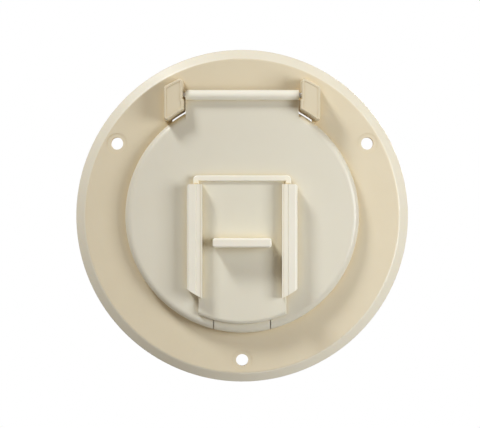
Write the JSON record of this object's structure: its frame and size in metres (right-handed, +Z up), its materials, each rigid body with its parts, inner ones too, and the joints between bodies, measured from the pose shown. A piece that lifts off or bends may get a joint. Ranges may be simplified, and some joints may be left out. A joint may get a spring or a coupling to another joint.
{
  "type": "electrical cable hatch",
  "caption": "Round wall hatch for an electrical cord: flanged collar, top-hinged flap door with a sliding cord shutter in rails, and a rear cup with a cord grommet.",
  "frame": {"origin": "centre of the flange's back face, where it lies on the wall", "axes": "front faces -Y, +Z up towards the hinge, +X to the right seen from the front; the hinge axis is parallel to X and the cord shutter slides along Z"},
  "size_m": [0.132, 0.0803, 0.132],
  "materials": {
    "frame_plastic": "satin moulded plastic, colonial white",
    "door_plastic": "satin moulded plastic, off-white",
    "slide_plastic": "satin moulded plastic, off-white",
    "pin_steel": "drawn stainless wire",
    "gasket_foam": "closed-cell foam",
    "cup_plastic": "satin moulded plastic, colonial white",
    "grommet_rubber": "soft rubber"
  },
  "bodies": {
    "frame": {"face_frame": "frame_plastic", "hinge_pin": "pin_steel", "flange_gasket": "gasket_foam", "rear_cup": "cup_plastic", "cord_grommet": "grommet_rubber"},
    "door": {"door": "door_plastic"},
    "slide": {"cord_slide": "slide_plastic"}
  },
  "joints": [
    {"name": "door_hinge", "type": "hinge", "parent": "frame", "child": "door", "pos_m": [0, -0.0096, 0.04735], "axis": [-1, 0, 0], "range_deg": [0, 120]},
    {"name": "slide_lift", "type": "slide", "parent": "door", "child": "slide", "axis": [0, 0, 1], "range_m": [0, 0.028]}
  ]
}
